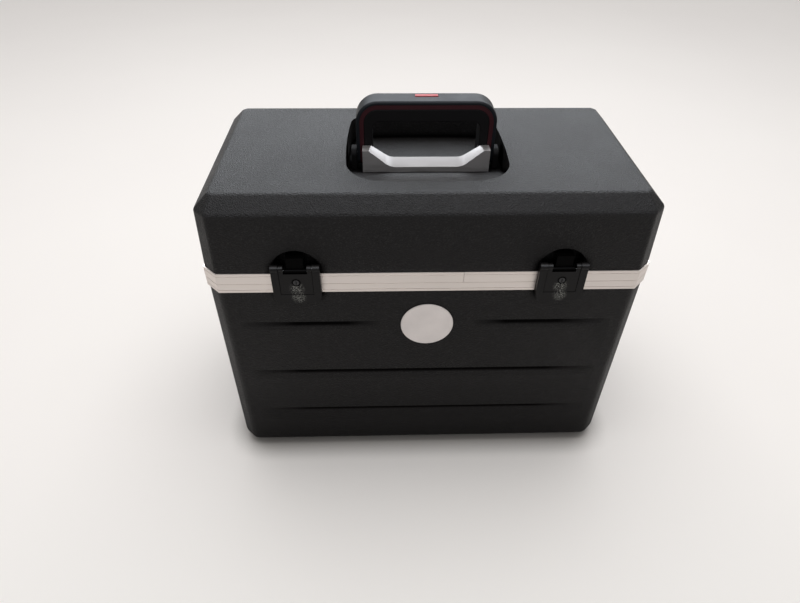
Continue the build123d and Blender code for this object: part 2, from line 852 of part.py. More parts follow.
def make_handle_parts():
    outer, inlay, core, hole = handle_layers()
    cover = outer - inlay
    long_edges = outer.faces().sort_by(Axis.Y)
    rim = ShapeList(long_edges[0].edges() + long_edges[-1].edges())
    rim = rim.filter_by(lambda edge: edge.center().Z > leg_low + 1)
    rounded = fillet(rim, cover_edge)
    cover = leg_ends(rounded - inlay)
    inlay_layer = leg_ends(inlay - core)
    grip = leg_ends(core - hole)
    reach = handle_half_width - pin_into_leg
    drill = pin_holes(reach, handle_half_width + 1, handle_pin_radius + running_gap)
    insert = insert_block(insert_proud)
    return cover - drill - insert, inlay_layer - drill, grip - drill, insert


def insert_block(proud):
    top = lid_top + handle_top
    y0 = handle_front + insert_back - insert_depth / 2
    return box(-insert_width / 2, insert_width / 2, y0, y0 + insert_depth, top - insert_sink, top + proud)


def make_ear():
    """The lug outside the right leg."""
    x0 = handle_half_width + ear_gap
    y0, y1 = handle_front + ear_inset, handle_front + handle_depth - ear_inset
    top = pivot_z + ear_above_pivot
    ear = box(x0, x0 + ear_thick, y0, y1, recess_floor, top)
    ear = fillet(ear.edges().filter_by(Axis.X).group_by(Axis.Z)[-1], ear_above_pivot)
    return ear - rod_x(handle_pin_radius, x0, x0 + ear_thick, handle_y, pivot_z)


def make_handle_pins():
    reach = handle_half_width - pin_into_leg + pin_end_gap
    end = handle_half_width + ear_gap + ear_thick
    return both_sides(rod_x(handle_pin_radius, reach, end, handle_y, pivot_z))


def saddle_face(y, lift, tip_in):
    """The saddle's front view at one depth: a low middle that sweeps up to both tips."""
    tip = lid_top + saddle_tip_above_lid
    flat = lid_top - saddle_flat_drop + lift
    x2 = saddle_half_width
    x1 = x2 - saddle_tip - tip_in
    points = [(-x2, y, recess_floor), (x2, y, recess_floor), (x2, y, tip), (x1, y, tip), (saddle_flat, y, flat),
              (-saddle_flat, y, flat), (-x1, y, tip), (-x2, y, tip)]
    face = make_face(Polyline(*points, close=True))
    bends = [v for v in face.vertices() if abs(abs(v.X) - saddle_flat) < 0.1 and abs(v.Z - flat) < 0.1]
    return fillet(bends, saddle_round)


def make_saddle():
    front = saddle_face(saddle_front, 0, 0)
    back = saddle_face(saddle_front + saddle_depth, saddle_tilt, saddle_tip_narrowing)
    saddle = loft([front.face(), back.face()], ruled=True)
    for x, y in handle_screw_places()[:2]:
        saddle = saddle - rod_z(screw_radius, recess_floor, recess_floor + handle_screw_reach, x, y)
    return saddle


def handle_screw_places():
    """Two screws up into the saddle, two up into the ears."""
    saddle_y = saddle_front + saddle_depth / 2
    ear_x = handle_half_width + ear_gap + ear_thick / 2
    return [(-handle_screw_x, saddle_y), (handle_screw_x, saddle_y), (-ear_x, handle_y), (ear_x, handle_y)]


def make_backing():
    z = recess_floor - wall
    ear_x = handle_half_width + ear_gap + ear_thick
    y0 = saddle_front - backing_margin
    y1 = handle_front + handle_depth + backing_margin
    plate = box(-ear_x, ear_x, y0, y1, z - backing_thick, z)
    for x, y in handle_screw_places():
        plate = plate - rod_z(screw_radius, z - backing_thick, z, x, y)
    return plate


def make_handle_screws():
    z = recess_floor - wall - backing_thick
    screws = []
    for x, y in handle_screw_places():
        shank = rod_z(screw_radius, z, recess_floor + handle_screw_reach, x, y)
        screws.append(shank + rod_z(screw_head_radius, z - screw_head, z, x, y))
    return group(screws)


def make_ears():
    ear = make_ear()
    x, y = handle_screw_places()[3]
    return both_sides(ear - rod_z(screw_radius, recess_floor, recess_floor + handle_screw_reach, x, y))


# Trolley handle
tube_y = shell_face + tube_from_wall + tube_depth / 2
trolley_back = tube_y + tube_depth / 2 + bracket_over_tube
tube_low = trolley_low + trolley_foot_floor
stage_step = 2 * (tube_wall + tube_gap)


def tube_plan(stage, grow):
    width = tube_width - stage * stage_step + 2 * grow
    depth = tube_depth - stage * stage_step + 2 * grow
    return SlotOverall(width, depth)


def tube(stage, z0, z1):
    """One hollow tube of a stage, on the right."""
    plan = tube_plan(stage, 0) - tube_plan(stage, -tube_wall)
    return extrude(Pos(tube_x, tube_y, z0) * plan, amount=z1 - z0)


def tube_core(stage, z0, z1):
    """A solid the size of a stage's outside, on both sides."""
    core = extrude(Pos(tube_x, tube_y, z0) * tube_plan(stage, 0), amount=z1 - z0)
    return both_sides(core)


def trolley_screw_places():
    foot_z = trolley_low + trolley_foot_height / 2
    collar_z = collar_top - collar_height / 2
    return [(x, z) for z in (foot_z, collar_z) for x in (-trolley_screw_x, trolley_screw_x)]


def bracket(z0, z1):
    side = tube_x + trolley_side
    block = box(-side, side, shell_face, trolley_back, z0, z1)
    for x, z in trolley_screw_places():
        block = block - rod_y(screw_radius, shell_face, shell_face + trolley_screw_reach, x, z)
    return block


def make_trolley_foot():
    block = bracket(trolley_low, trolley_low + trolley_foot_height)
    low_back = block.edges().filter_by(Axis.X).group_by(Axis.Z)[0].sort_by(Axis.Y)[-1]
    block = chamfer(low_back, trolley_foot_chamfer)
    return block - tube_core(0, tube_low, collar_top)


def make_collar():
    return bracket(collar_top - collar_height, collar_top) - tube_core(0, tube_low, collar_top)


def make_trolley_screws():
    screws = []
    inside = shell_face - wall
    for x, z in trolley_screw_places():
        shank = rod_y(screw_radius, inside, shell_face + trolley_screw_reach, x, z)
        screws.append(shank + rod_y(screw_head_radius, inside - screw_head, inside, x, z))
    return group(screws)


def make_stage(stage):
    top = collar_top if stage < 3 else grip_bottom + grip_socket
    return both_sides(tube(stage, tube_low + 1, top))


def make_trolley_grip():
    side = tube_x + grip_side
    y0 = half_d + rail_rivet_proud + grip_clear
    y1 = tube_y + tube_depth / 2
    bar = box(-side, side, y0, y1, grip_bottom, grip_bottom + grip_height)
    bar = fillet(bar.edges().filter_by(Axis.Y), grip_round)
    bar = bar - tube_core(3, grip_bottom, grip_bottom + grip_socket)
    return bar - button_room(button_gap, button_travel)


def button_room(gap, below):
    """The button's place in the middle of the grip's top."""
    top = grip_bottom + grip_height
    x, y = button_width / 2 + gap, button_depth / 2 + gap
    return box(-x, x, tube_y - y, tube_y + y, top - button_height - below, top + 1)


def make_button():
    top = grip_bottom + grip_height
    x, y = button_width / 2, button_depth / 2
    z0 = top - button_height + button_proud
    button = box(-x, x, tube_y - y, tube_y + y, z0, top + button_proud)
    return fillet(button.edges().group_by(Axis.Z)[-1], button_round)


cover, inlay, grip, insert = make_handle_parts()

pieces = {
    "base_shell": make_base_shell(),
    "base_frame": make_base_frame(),
    "base_rivets": rail_rivets(rail_low + base_rail_height / 2),
    "badge": make_badge(),
    "front_feet": make_feet(),
    "foot_screws": make_foot_screws(),
    "wheel_housing_left": mirror(make_wheel_housing(), Plane.YZ),
    "wheel_housing_right": make_wheel_housing(),
    "axles": both_sides(make_axle()),
    "hinge_base_leaves": make_leaves(-1),
    "hinge_pins": make_hinge_pins(),
    "latch_housing_left": on_latch(make_latch_housing, -1),
    "latch_housing_right": on_latch(make_latch_housing, 1),
    "latch_bars": on_latches(make_latch_bars),
    "latch_rivets": on_latches(make_latch_rivets),
    "trolley_foot": make_trolley_foot(),
    "trolley_collar": make_collar(),
    "trolley_outer_tubes": both_sides(tube(0, tube_low, collar_top)),
    "trolley_screws": make_trolley_screws(),
    "stay_studs": make_base_studs(),
    "lid_shell": make_lid_shell(),
    "lid_frame": make_lid_frame(),
    "lid_frame_splice": make_splice(parting + rail_web, rail_high),
    "lid_seal": make_seal(),
    "lid_rivets": rail_rivets(parting + lid_rail_height / 2),
    "hinge_lid_leaves": make_leaves(1),
    "strike_plates": on_latches(make_strike),
    "handle_saddle": make_saddle(),
    "handle_ears": make_ears(),
    "handle_pins": make_handle_pins(),
    "handle_backing_plate": make_backing(),
    "handle_screws": make_handle_screws(),
    "stay_pivots": make_lid_studs(),
    "handle_cover": cover,
    "handle_inlay": inlay,
    "handle_grip": grip,
    "handle_insert": insert,
    "wheel_hub_left": mirror(make_hub(), Plane.YZ),
    "wheel_hub_right": make_hub(),
    "tyre_left": mirror(make_tyre(), Plane.YZ),
    "tyre_right": make_tyre(),
    "trolley_stage_1": make_stage(1),
    "trolley_stage_2": make_stage(2),
    "trolley_stage_3": make_stage(3),
    "trolley_grip": make_trolley_grip(),
    "release_button": make_button(),
    "stay_arm_left": mirror(make_stay(), Plane.YZ),
    "stay_arm_right": make_stay(),
}
for side_name, side in (("left", -1), ("right", 1)):
    pieces["latch_lever_" + side_name] = on_latch(make_lever, side)
    pieces["latch_hook_" + side_name] = on_latch(make_hook, side)
    pieces["hook_pin_" + side_name] = on_latch(make_hook_pin, side)
    pieces["lock_barrel_" + side_name] = on_latch(make_lock_barrel, side)
    pieces["lock_plug_" + side_name] = on_latch(make_lock_plug, side)

# The front of the latches and the back of the wheels stand equally far from the origin.
front_most = max(bar_knob - bar_y, lock_proud - latch_front)
back_most = max(wheel_y + wheel_radius, trolley_back)
body_shift = (front_most - back_most) / 2

for name, shape in pieces.items():
    export_step(Pos(0, body_shift, 0) * shape, f"parts/{name}.step")

print("shift along Y", round(body_shift, 3))
print("parting, lid top", round(parting, 3), round(lid_top, 3))
print("hinge", round(hinge_y + body_shift, 3), round(parting, 3))
stay_y, stay_z = on_stay_circle(stay_lid_angle)
print("stay pivot", round(stay_y + body_shift, 3), round(stay_z, 3))
print("lever axis", round(bar_y + body_shift, 3), round(bar_z, 3))
print("hook axis", round(hook_y + body_shift, 3), round(hook_z, 3))
print("lock axis height", round(lock_z, 3))
print("handle pivot", round(handle_y + body_shift, 3), round(pivot_z, 3))
print("wheel axis", round(wheel_y + body_shift, 3), round(wheel_z, 3))
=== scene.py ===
# %% [markdown]
# # A rolling tool case
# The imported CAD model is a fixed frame: a moulded case with a closing band, latches, a carry
# handle, and rolling gear. This script gives every piece its finish, and swaps the hard-edged
# solids for pieces with the soft edges that moulded plastic and bent metal really have.

# %% Load the frame
import bpy
import bmesh
import json
import math
from mathutils import Matrix, Vector


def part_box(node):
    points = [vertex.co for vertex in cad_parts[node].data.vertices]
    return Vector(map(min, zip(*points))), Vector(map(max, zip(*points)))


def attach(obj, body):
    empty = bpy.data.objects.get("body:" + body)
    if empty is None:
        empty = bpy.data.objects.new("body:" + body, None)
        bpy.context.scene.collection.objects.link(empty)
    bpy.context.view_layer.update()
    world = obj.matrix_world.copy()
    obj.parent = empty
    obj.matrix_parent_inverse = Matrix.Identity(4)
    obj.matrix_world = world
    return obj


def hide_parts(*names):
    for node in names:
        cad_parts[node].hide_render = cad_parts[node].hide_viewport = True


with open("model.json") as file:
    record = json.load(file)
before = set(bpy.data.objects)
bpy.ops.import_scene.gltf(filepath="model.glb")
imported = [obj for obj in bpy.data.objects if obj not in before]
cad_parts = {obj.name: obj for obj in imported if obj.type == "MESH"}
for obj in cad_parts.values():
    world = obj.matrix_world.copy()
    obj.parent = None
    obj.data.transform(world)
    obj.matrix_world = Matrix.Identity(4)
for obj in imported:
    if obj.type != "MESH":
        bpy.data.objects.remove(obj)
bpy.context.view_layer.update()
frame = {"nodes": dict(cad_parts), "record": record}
MM = 0.001
bodies = frame["record"]["behaviour"]["bodies"]
body_of_node = {node: body for body, names in bodies.items() for node in names}

# %% [markdown]
# A finish is a small node tree. Nearly all of them share one pattern: a base colour that drifts a
# little with noise, a roughness that drifts with it, and a bump. The helpers here build that
# pattern, because finishes written out one by one would differ only in their numbers.

# %% The common finish
def new_material(name, roughness, metallic=0.0, specular=0.5):
    """A material with its shader and an output."""
    material = bpy.data.materials.new(name)
    material.use_nodes = True
    nodes = material.node_tree.nodes
    shader = nodes["Principled BSDF"]
    shader.inputs["Roughness"].default_value = roughness
    shader.inputs["Metallic"].default_value = metallic
    shader.inputs["Specular IOR Level"].default_value = specular
    return material, nodes, material.node_tree.links, shader


def noise(nodes, links, scale, detail=3.0, stretch=(1, 1, 1)):
    """Noise on the piece's own coordinates, drawn out along an axis when stretch says so."""
    coordinates = nodes.new("ShaderNodeTexCoord")
    mapping = nodes.new("ShaderNodeMapping")
    mapping.inputs["Scale"].default_value = stretch
    texture = nodes.new("ShaderNodeTexNoise")
    texture.inputs["Scale"].default_value = scale
    texture.inputs["Detail"].default_value = detail
    links.new(coordinates.outputs["Object"], mapping.inputs["Vector"])
    links.new(mapping.outputs["Vector"], texture.inputs["Vector"])
    return texture


def spread(nodes, links, value, low, high, to_low, to_high):
    """Stretches a grey value between two limits onto another range."""
    node = nodes.new("ShaderNodeMapRange")
    node.inputs["From Min"].default_value = low
    node.inputs["From Max"].default_value = high
    node.inputs["To Min"].default_value = to_low
    node.inputs["To Max"].default_value = to_high
    links.new(value, node.inputs["Value"])
    return node.outputs["Result"]


def blend_colours(nodes, links, factor, first, second):
    """Mixes two colours, or a colour and a socket, by a grey value."""
    mix = nodes.new("ShaderNodeMix")
    mix.data_type = "RGBA"
    links.new(factor, mix.inputs["Factor"])
    for socket, colour in ((mix.inputs["A"], first), (mix.inputs["B"], second)):
        if isinstance(colour, tuple):
            socket.default_value = (*colour, 1)
        else:
            links.new(colour, socket)
    return mix.outputs["Result"]


def drift(colour, low, high):
    """Two shades of one colour, for a noise to move between."""
    return [tuple(min(1, channel * share) for channel in colour) for share in (low, high)]


def add_bump(nodes, links, shader, height, strength, distance):
    """Lets a grey value stand as relief, with its height in metres."""
    bump = nodes.new("ShaderNodeBump")
    bump.inputs["Strength"].default_value = strength
    bump.inputs["Distance"].default_value = distance
    links.new(height, bump.inputs["Height"])
    links.new(bump.outputs["Normal"], shader.inputs["Normal"])


def combine(nodes, links, operation, first, second):
    """Multiplies two values, or takes the higher, as the operation says."""
    node = nodes.new("ShaderNodeMath")
    node.operation = operation
    links.new(first, node.inputs[0])
    links.new(second, node.inputs[1])
    return node.outputs["Value"]


def cover_with_painted_shade(nodes, links, shader, factor):
    """Covers the shader with a near-black painted shade where the factor is high."""
    # Painted shade: a near-black cover laid over corners, gaps and other shaded places.
    shade_cover = nodes.new("ShaderNodeBsdfDiffuse")
    shade_cover.inputs["Color"].default_value = (0.0012, 0.001, 0.001, 1)
    both = nodes.new("ShaderNodeMixShader")
    links.new(factor, both.inputs["Fac"])
    links.new(shader.outputs["BSDF"], both.inputs[1])
    links.new(shade_cover.outputs["BSDF"], both.inputs[2])
    links.new(both.outputs["Shader"], nodes["Material Output"].inputs["Surface"])


def crease_factor(nodes, links, distance, low, high):
    """High in corners and gaps about as wide as a distance, and nought on open faces; it places a
    painted shade.
    """
    shaded = nodes.new("ShaderNodeAmbientOcclusion")
    shaded.inputs["Distance"].default_value = distance
    return spread(nodes, links, shaded.outputs["AO"], low, high, 0.97, 0.0)


# %% [markdown]
# The case is vacuum-formed sheet with a fine leather-like grain. Close up it is a field of small
# rounded cells, so a Voronoi pattern makes the bump. A slow noise makes lighter patches and a
# fast one makes pale specks.
#
# Two shades are painted on the shells and aren't in the solids. One strengthens the shade under
# the front's mould lines. The other darkens the lowest part of the base, as the picture shows it,
# which may be the picture's light and not the plastic.

# %% Grained shell plastic
mould_tops = (225 * MM, 147 * MM, 76.5 * MM)
mould_end = 209 * MM
mould_fade = 60 * MM
badge_gap = 50 * MM
badge_fade = 40 * MM
shade_below_lip = 4.0 * MM
shade_core, shade_reach = 1.4 * MM, 4.8 * MM
shade_depth = 0.93
ground_shade, ground_reach = 0.42, 130 * MM
front_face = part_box("base_shell")[0].y
front_from, front_to = front_face + 6 * MM, front_face + 8 * MM


def size_of(nodes, links, value, away_from=0.0):
    """How far a value is from a number."""
    less = nodes.new("ShaderNodeMath")
    less.operation = "SUBTRACT"
    links.new(value, less.inputs[0])
    less.inputs[1].default_value = away_from
    positive = nodes.new("ShaderNodeMath")
    positive.operation = "ABSOLUTE"
    links.new(less.outputs["Value"], positive.inputs[0])
    return positive.outputs["Value"]


def painted_shade(nodes, links):
    """The shade under the front's mould lines, which dies away at their ends, and the ground's."""
    coordinates = nodes.new("ShaderNodeTexCoord")
    split = nodes.new("ShaderNodeSeparateXYZ")
    links.new(coordinates.outputs["Object"], split.inputs["Vector"])
    sideways = size_of(nodes, links, split.outputs["X"])
    ends = spread(nodes, links, sideways, mould_end - mould_fade, mould_end, 1.0, 0.0)
    in_front = spread(nodes, links, split.outputs["Y"], front_from, front_to, 1.0, 0.0)
    clear_of_badge = spread(nodes, links, sideways, badge_gap, badge_gap + badge_fade, 0.0, 1.0)
    shades = []
    for top in mould_tops:
        away = size_of(nodes, links, split.outputs["Z"], top - shade_below_lip)
        shades.append(spread(nodes, links, away, shade_core, shade_reach, shade_depth, 0.0))
    total = combine(nodes, links, "MULTIPLY", shades[0], clear_of_badge)
    for shade in shades[1:]:
        total = combine(nodes, links, "MAXIMUM", total, shade)
    total = combine(nodes, links, "MULTIPLY", total, ends)
    total = combine(nodes, links, "MULTIPLY", total, in_front)
    ground = spread(nodes, links, split.outputs["Z"], 0.0, ground_reach, ground_shade, 0.0)
    return combine(nodes, links, "MAXIMUM", total, ground)


def grained_plastic(name, colour, scuff, roughness, cell, depth, specular, painted=False):
    """Plastic with a grain of a given cell size and depth in metres."""
    material, nodes, links, shader = new_material(name, roughness, specular=specular)
    slow = noise(nodes, links, 14.0, 5.0)
    patches = spread(nodes, links, slow.outputs["Fac"], 0.45, 0.75, 0.0, 1.0)
    speck = noise(nodes, links, 600.0, 2.0)
    specks = spread(nodes, links, speck.outputs["Fac"], 0.52, 0.72, 0.0, 1.0)
    tint = blend_colours(nodes, links, patches, *drift(colour, 1.0, 1.18))
    tint = blend_colours(nodes, links, specks, tint, scuff)
    links.new(spread(nodes, links, slow.outputs["Fac"], 0.3, 0.7, roughness - 0.04, roughness + 0.05),
              shader.inputs["Roughness"])
    links.new(tint, shader.inputs["Base Color"])
    # Painted shade: near black in corners and gaps, and under the front's mould lines and near the
    # ground when painted is set.
    painted_shade_mask = crease_factor(nodes, links, 0.010, 0.55, 0.93)
    if painted:
        painted_shade_mask = combine(nodes, links, "MAXIMUM", painted_shade_mask, painted_shade(nodes, links))
    cover_with_painted_shade(nodes, links, shader, painted_shade_mask)
    coordinates = nodes.new("ShaderNodeTexCoord")
    cells = nodes.new("ShaderNodeTexVoronoi")
    cells.inputs["Scale"].default_value = 1 / cell
    cells.inputs["Randomness"].default_value = 1.0
    links.new(coordinates.outputs["Object"], cells.inputs["Vector"])
    add_bump(nodes, links, shader, cells.outputs["Distance"], 0.5, depth)
    return material


shell_black = grained_plastic(
    "shell_black", (0.0046, 0.0039, 0.0040), (0.0165, 0.0155, 0.0155), roughness=0.44,
    cell=1.3 * MM, depth=1.4 * MM, specular=0.14, painted=True)
trolley_black = grained_plastic(
    "trolley_black", (0.012, 0.012, 0.0125), (0.024, 0.024, 0.024), roughness=0.48,
    cell=1.1 * MM, depth=0.3 * MM, specular=0.3)

# %% [markdown]
# The latches are plain mouldings, scratched where a thumb and a key touch them. A noise drawn out
# upwards lightens the colour inside a soft ball round each worn spot. Only finishes with worn spots
# also get a painted shade in their narrow gaps.

# %% Smooth plastics
def smooth_plastic(name, colour, roughness, specular=0.5, wear=None, wear_radius=9 * MM):
    """Plastic or rubber without a grain, with worn spots at the places given."""
    material, nodes, links, shader = new_material(name, roughness, specular=specular)
    slow = noise(nodes, links, 40.0, 4.0)
    tint = blend_colours(nodes, links, slow.outputs["Fac"], *drift(colour, 0.85, 1.15))
    if wear:
        streaks = noise(nodes, links, 1500.0, 4.0, (1, 1, 0.6))
        lines = spread(nodes, links, streaks.outputs["Fac"], 0.53, 0.60, 0.0, 1.0)
        for place in wear:
            tint = worn(nodes, links, tint, lines, place, wear_radius)
    links.new(tint, shader.inputs["Base Color"])
    links.new(spread(nodes, links, slow.outputs["Fac"], 0.3, 0.7, roughness - 0.05, roughness + 0.06),
              shader.inputs["Roughness"])
    fine = noise(nodes, links, 900.0, 2.0)
    add_bump(nodes, links, shader, fine.outputs["Fac"], 0.12, 0.0002)
    # Painted shade: near black in the narrow gaps of pieces with worn spots.
    if wear:
        cover_with_painted_shade(nodes, links, shader, crease_factor(nodes, links, 0.004, 0.62, 0.97))
    return material


def worn(nodes, links, tint, lines, place, radius):
    """Lightens the streaks near one place of the piece."""
    coordinates = nodes.new("ShaderNodeTexCoord")
    distance = nodes.new("ShaderNodeVectorMath")
    distance.operation = "DISTANCE"
    distance.inputs[1].default_value = place
    links.new(coordinates.outputs["Object"], distance.inputs[0])
    near = spread(nodes, links, distance.outputs["Value"], radius * 0.35, radius, 1.0, 0.0)
    both = combine(nodes, links, "MULTIPLY", near, lines)
    return blend_colours(nodes, links, both, tint, (0.28, 0.28, 0.26))


# %% [markdown]
# Extruded aluminium shows long faint die lines along its length, and brushed plate shows short
# ones. Both are metal with a noise drawn out along one axis, in the roughness and the bump.

# %% Metals
def drawn_metal(name, colour, roughness, stretch, bump=0.06, metallic=1.0):
    """Metal whose fine lines run along the axis with the smallest stretch."""
    material, nodes, links, shader = new_material(name, roughness, metallic=metallic)
    lines = noise(nodes, links, 900.0, 3.0, stretch)
    slow = noise(nodes, links, 9.0, 3.0)
    tint = blend_colours(nodes, links, slow.outputs["Fac"], *drift(colour, 0.9, 1.08))
    links.new(tint, shader.inputs["Base Color"])
    links.new(spread(nodes, links, lines.outputs["Fac"], 0.3, 0.7, roughness - 0.07, roughness + 0.09),
              shader.inputs["Roughness"])
    add_bump(nodes, links, shader, lines.outputs["Fac"], bump, 0.0003)
    return material


band_metal = drawn_metal("band_metal", (0.62, 0.565, 0.53), 0.42, (0.02, 0.02, 1))
tube_metal = drawn_metal("tube_metal", (0.70, 0.70, 0.71), 0.32, (1, 1, 0.02))
plate_metal = drawn_metal("plate_metal", (0.34, 0.325, 0.32), 0.42, (0.05, 1, 1), metallic=0.75)
zinc_metal = drawn_metal("zinc_metal", (0.55, 0.55, 0.56), 0.38, (1, 0.3, 0.3))
lock_metal = drawn_metal("lock_metal", (0.03, 0.03, 0.031), 0.3, (1, 1, 1), metallic=0.6)

# %% [markdown]
# The rest are small mouldings and rubber. Each has its own colour and gloss but the same build.

# %% Handle, badge, rubber
handle_grey = smooth_plastic("handle_grey", (0.009, 0.0105, 0.0135), 0.44, 0.075)
inlay_red = smooth_plastic("inlay_red", (0.030, 0.0025, 0.0055), 0.5, 0.15)
grip_black = smooth_plastic("grip_black", (0.0022, 0.0016, 0.002), 0.7, 0.08)
button_red = smooth_plastic("button_red", (0.42, 0.045, 0.05), 0.5, 0.2)
badge_white = smooth_plastic("badge_white", (0.66, 0.61, 0.59), 0.42)
tyre_rubber = smooth_plastic("tyre_rubber", (0.02, 0.02, 0.02), 0.75, 0.3)
hub_grey = smooth_plastic("hub_grey", (0.07, 0.07, 0.075), 0.5)
foot_rubber = smooth_plastic("foot_rubber", (0.015, 0.015, 0.015), 0.8, 0.3)
black_metal = smooth_plastic("black_metal", (0.0012, 0.0011, 0.0011), 0.38, 0.02)

# %% [markdown]
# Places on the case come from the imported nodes, so a changed size in the CAD moves everything
# here with it. The latches' middles and the worn spots round their keyholes are read off the lock
# plugs.

# %% Places
def middle(node):
    """The middle of a node's box."""
    low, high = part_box(node)
    return (Vector(low) + Vector(high)) / 2


lock_places = {side: middle("lock_plug_" + side) for side in ("left", "right")}
latch_materials = {}
for side, lock in lock_places.items():
    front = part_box("latch_housing_" + side)[0].y
    below_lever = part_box("latch_lever_" + side)[0].z - 4 * MM
    spots = [(lock.x, front, lock.z - 8 * MM), (lock.x + 1 * MM, front, below_lever)]
    latch_materials[side] = smooth_plastic(
        "latch_black_" + side, (0.0048, 0.0042, 0.0044), 0.33, 0.14, spots)
print("locks", lock_places)

# %% [markdown]
# A CAD solid has knife edges, and no moulded or bent part has. Its mesh is loose triangles, so a
# copy is merged, its flat faces are joined again, and a bevel modifier rounds the edges that turn
# more than an angle. The copy then stands for the node.

# %% Rounded copies of CAD pieces
def copy_mesh(node):
    """A merged copy of a node's mesh with its flat faces joined."""
    mesh = bmesh.new()
    mesh.from_mesh(frame["nodes"][node].data)
    bmesh.ops.remove_doubles(mesh, verts=mesh.verts, dist=1e-6)
    bmesh.ops.dissolve_limit(mesh, angle_limit=math.radians(0.3), verts=mesh.verts, edges=mesh.edges)
    return mesh


def make_piece(name, mesh, body, material, replaces=()):
    """Turns a bmesh into a piece that rides on a body."""
    data = bpy.data.meshes.new(name)
    mesh.to_mesh(data)
    mesh.free()
    piece = bpy.data.objects.new(name, data)
    bpy.context.scene.collection.objects.link(piece)
    data.materials.append(material)
    for face in data.polygons:
        face.use_smooth = True
    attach(piece, body)
    if replaces:
        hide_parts(*replaces)
    return piece


def round_edges(piece, width, segments=3, angle=35):
    """Bevels the edges that turn more than an angle, and evens out the shading."""
    bevel = piece.modifiers.new("edges", "BEVEL")
    bevel.width = width
    bevel.segments = segments
    bevel.limit_method = "ANGLE"
    bevel.angle_limit = math.radians(angle)
    bevel.harden_normals = True
    bevel.use_clamp_overlap = True
    even = piece.modifiers.new("even_faces", "WEIGHTED_NORMAL")
    even.keep_sharp = True
    return piece


def rounded(node, material, width, segments=3, angle=35):
    """Puts a soft-edged copy in a node's place."""
    piece = make_piece(
        node + "_round", copy_mesh(node), body_of_node[node], material, (node,))
    return round_edges(piece, width, segments, angle)


def finish_node(node, material):
    """Keeps a CAD node and gives it a finish."""
    data = frame["nodes"][node].data
    data.materials.clear()
    data.materials.append(material)


# %% Shells
rounded("lid_shell", shell_black, 1.2 * MM, 3, 40)
rounded("base_shell", shell_black, 0.6 * MM, 2, 40)
print("shells rounded")

# %% [markdown]
# The other pieces only need their edges softened, each by about what its making leaves: a tenth
# or two on a rolled rail, half a millimetre or more on a moulding.

# %% Rounded pieces
soft_pieces = [
    ("base_frame", band_metal, 0.22, 2), ("lid_frame", band_metal, 0.22, 2),
    ("badge", badge_white, 0.4, 2),
    ("front_feet", foot_rubber, 0.8, 2), ("wheel_housing_left", trolley_black, 0.5, 2),
    ("wheel_housing_right", trolley_black, 0.5, 2), ("hinge_base_leaves", zinc_metal, 0.25, 2),
    ("hinge_lid_leaves", zinc_metal, 0.25, 2), ("trolley_foot", trolley_black, 0.9, 3),
    ("trolley_collar", trolley_black, 0.9, 3), ("strike_plates", black_metal, 0.3, 2),
    ("handle_saddle", plate_metal, 1.0, 3), ("handle_ears", grip_black, 0.8, 3),
    ("handle_cover", handle_grey, 0.5, 2), ("handle_grip", grip_black, 1.2, 3),
    ("handle_insert", button_red, 0.4, 2), ("wheel_hub_left", hub_grey, 0.6, 2),
    ("wheel_hub_right", hub_grey, 0.6, 2),
    ("trolley_grip", trolley_black, 1.4, 3), ("release_button", button_red, 0.3, 2),
    ("stay_arm_left", zinc_metal, 0.2, 2), ("stay_arm_right", zinc_metal, 0.2, 2),
]
for side in ("left", "right"):
    soft_pieces += [("latch_housing_" + side, latch_materials[side], 0.8, 3),
                    ("latch_lever_" + side, latch_materials[side], 0.6, 3),
                    ("latch_hook_" + side, black_metal, 0.25, 2)]
for node, material, width, segments in soft_pieces:
    rounded(node, material, width * MM, segments)
print("rounded", len(soft_pieces))

# %% [markdown]
# The rest keep the solid's own edges: round or thin things, pieces seen only when the case is
# open, and the lock barrels, whose softened edges would touch the plugs as a lever swings.

# %% Pieces kept as they are
zinc_nodes = ["base_rivets", "lid_rivets", "foot_screws", "axles", "hinge_pins", "latch_bars",
              "latch_rivets", "trolley_screws", "stay_studs", "stay_pivots", "handle_pins",
              "handle_screws", "handle_backing_plate"]
tube_nodes = ["trolley_outer_tubes", "trolley_stage_1", "trolley_stage_2", "trolley_stage_3"]
kept = {node: zinc_metal for node in zinc_nodes}
kept.update({node: tube_metal for node in tube_nodes})
kept.update({"lid_frame_splice": band_metal, "lid_seal": foot_rubber, "handle_inlay": inlay_red})
for side in ("left", "right"):
    kept["tyre_" + side] = tyre_rubber
    kept["hook_pin_" + side] = zinc_metal
    kept["lock_plug_" + side] = lock_metal
    kept["lock_barrel_" + side] = black_metal
for node, material in kept.items():
    finish_node(node, material)
print("kept", len(kept))

# %% [markdown]
# The case stands on a pale table under an even room light and one broad lamp overhead. Two bright
# cards, which show in reflections only, make its top look grey while its front stays black. The
# table is a plain sheet, a little warm, with a painted shade towards the camera and a painted
# contact shadow close to the case, as the picture has it.

# %% Table and light
def stage_grid(name, mesh):
    """Turns a bmesh into a piece of the stage, which isn't part of the case."""
    data = bpy.data.meshes.new(name)
    mesh.to_mesh(data)
    mesh.free()
    piece = bpy.data.objects.new(name, data)
    bpy.context.scene.collection.objects.link(piece)
    return piece


def flat_sheet(name, size):
    """A square sheet on the ground."""
    mesh = bmesh.new()
    bmesh.ops.create_grid(mesh, x_segments=1, y_segments=1, size=size / 2)
    return stage_grid(name, mesh)


